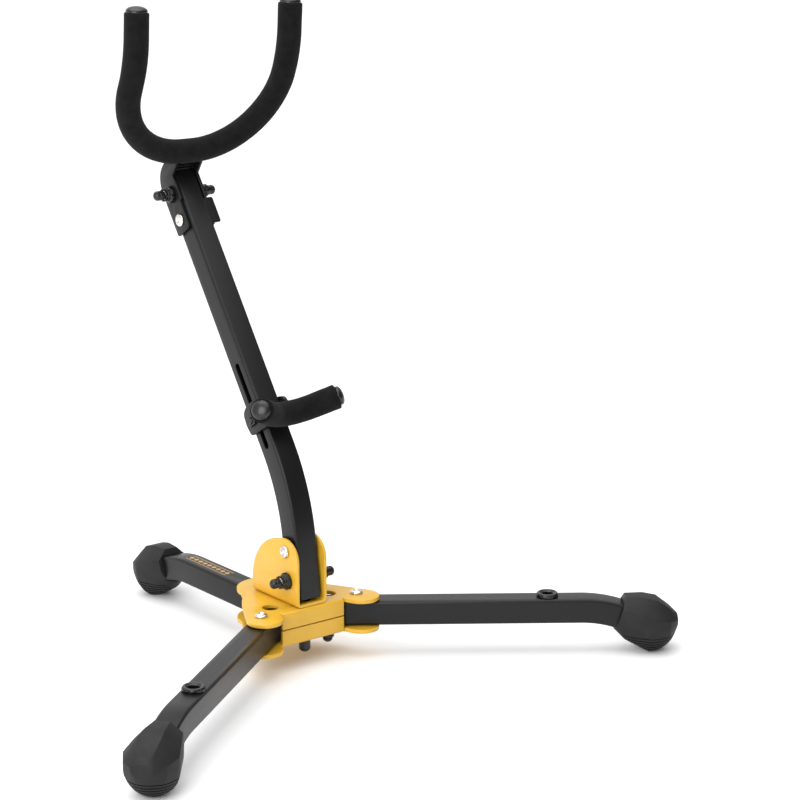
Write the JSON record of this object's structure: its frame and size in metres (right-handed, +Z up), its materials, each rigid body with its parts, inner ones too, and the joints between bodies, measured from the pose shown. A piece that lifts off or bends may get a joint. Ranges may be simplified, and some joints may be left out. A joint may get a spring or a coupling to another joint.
{
  "type": "saxophone stand",
  "caption": "Folding tripod stand for a saxophone, with a padded U-shaped yoke, a padded sliding lower rest and rubber boots.",
  "frame": {"origin": "middle of the footprint's bounding box, on the floor", "axes": "+Z up, -Y towards the player and the two front legs, +X to the right when seen from the front"},
  "size_m": [0.5106, 0.4006, 0.5066],
  "materials": {
    "hub_paint": "satin powder coat, amber yellow",
    "black_paint": "satin black powder coat",
    "rubber": "matte",
    "black_plastic": "semi-gloss",
    "steel": "polished",
    "foam": "matte closed-cell foam"
  },
  "bodies": {
    "hub": {"hub_top_plate": "hub_paint", "hub_bottom_plate": "hub_paint", "post_clevis": "hub_paint", "hub_bolt": "steel", "hub_bolt_cap": "black_plastic", "left_leg_rivet": "steel", "right_leg_rivet": "steel", "back_leg_rivet": "steel", "back_leg_tube": "black_paint", "back_boot": "rubber", "post_rivet": "steel", "leg_lock_left_guide": "black_plastic", "leg_lock_left_spring": "steel", "leg_lock_right_guide": "black_plastic", "leg_lock_right_spring": "steel", "post_left_guide": "black_plastic", "post_left_spring": "steel", "post_right_guide": "black_plastic", "post_right_spring": "steel"},
    "left_leg": {"left_leg_tube": "black_paint", "left_boot": "rubber", "left_leg_insert": "black_plastic"},
    "right_leg": {"right_leg_tube": "black_paint", "right_boot": "rubber", "right_leg_insert": "black_plastic"},
    "post": {"post_tube": "black_paint", "post_top_plug": "black_plastic"},
    "lower_rest": {"rest_clamp": "black_paint", "rest_rod": "black_paint", "rest_foam": "foam", "rest_cap_left": "black_plastic", "rest_cap_right": "black_plastic", "rest_washer": "steel", "rest_nut": "steel"},
    "rest_knob": {"rest_knob": "black_plastic", "rest_bolt": "steel"},
    "yoke": {"yoke_bracket": "black_paint", "yoke_rivet": "steel", "yoke_rod": "black_paint", "yoke_foam": "foam", "yoke_cap_left": "black_plastic", "yoke_cap_right": "black_plastic", "yoke_left_guide": "black_plastic", "yoke_left_spring": "steel", "yoke_right_guide": "black_plastic", "yoke_right_spring": "steel"},
    "leg_lock_left_pin": {"leg_lock_left_pin": "black_plastic"},
    "leg_lock_right_pin": {"leg_lock_right_pin": "black_plastic"},
    "post_left_pin": {"post_left_pin": "black_plastic"},
    "post_right_pin": {"post_right_pin": "black_plastic"},
    "yoke_left_pin": {"yoke_left_pin": "black_plastic"},
    "yoke_right_pin": {"yoke_right_pin": "black_plastic"}
  },
  "joints": [
    {"name": "left_leg_fold", "type": "hinge", "parent": "hub", "child": "left_leg", "pos_m": [-0.0457, -0.03991, 0.0349], "axis": [0, 0, 1], "range_deg": [0, 53.5]},
    {"name": "right_leg_fold", "type": "hinge", "parent": "hub", "child": "right_leg", "pos_m": [0.0457, -0.03991, 0.0349], "axis": [0, 0, -1], "range_deg": [0, 53.5]},
    {"name": "post_fold", "type": "hinge", "parent": "hub", "child": "post", "pos_m": [0, -0.02771, 0.0915], "axis": [1, 0, 0], "range_deg": [0, 100]},
    {"name": "rest_height", "type": "slide", "parent": "post", "child": "lower_rest", "axis": [0, 0.565, 0.8251], "range_m": [-0.02, 0.042]},
    {"name": "rest_knob_turn", "type": "hinge", "parent": "lower_rest", "child": "rest_knob", "pos_m": [0, 0.01386, 0.18835], "axis": [1, 0, 0], "range_deg": [-720, 0]},
    {"name": "yoke_fold", "type": "hinge", "parent": "post", "child": "yoke", "pos_m": [0, 0.11245, 0.33233], "axis": [1, 0, 0], "range_deg": [0, 125]},
    {"name": "leg_lock_left_press", "type": "slide", "parent": "hub", "child": "leg_lock_left_pin", "axis": [0, 0, 1], "range_m": [0, 0.003], "stiffness_N_per_m": 300, "springref_m": -0.002, "deforming": ["leg_lock_left_spring"]},
    {"name": "leg_lock_right_press", "type": "slide", "parent": "hub", "child": "leg_lock_right_pin", "axis": [0, 0, 1], "range_m": [0, 0.003], "stiffness_N_per_m": 300, "springref_m": -0.002, "deforming": ["leg_lock_right_spring"]},
    {"name": "post_left_press", "type": "slide", "parent": "hub", "child": "post_left_pin", "axis": [1, 0, 0], "range_m": [0, 0.003], "stiffness_N_per_m": 300, "springref_m": -0.002, "deforming": ["post_left_spring"]},
    {"name": "post_right_press", "type": "slide", "parent": "hub", "child": "post_right_pin", "axis": [-1, 0, 0], "range_m": [0, 0.003], "stiffness_N_per_m": 300, "springref_m": -0.002, "deforming": ["post_right_spring"]},
    {"name": "yoke_left_press", "type": "slide", "parent": "yoke", "child": "yoke_left_pin", "axis": [1, 0, 0], "range_m": [0, 0.003], "stiffness_N_per_m": 300, "springref_m": -0.002, "deforming": ["yoke_left_spring"]},
    {"name": "yoke_right_press", "type": "slide", "parent": "yoke", "child": "yoke_right_pin", "axis": [-1, 0, 0], "range_m": [0, 0.003], "stiffness_N_per_m": 300, "springref_m": -0.002, "deforming": ["yoke_right_spring"]}
  ]
}
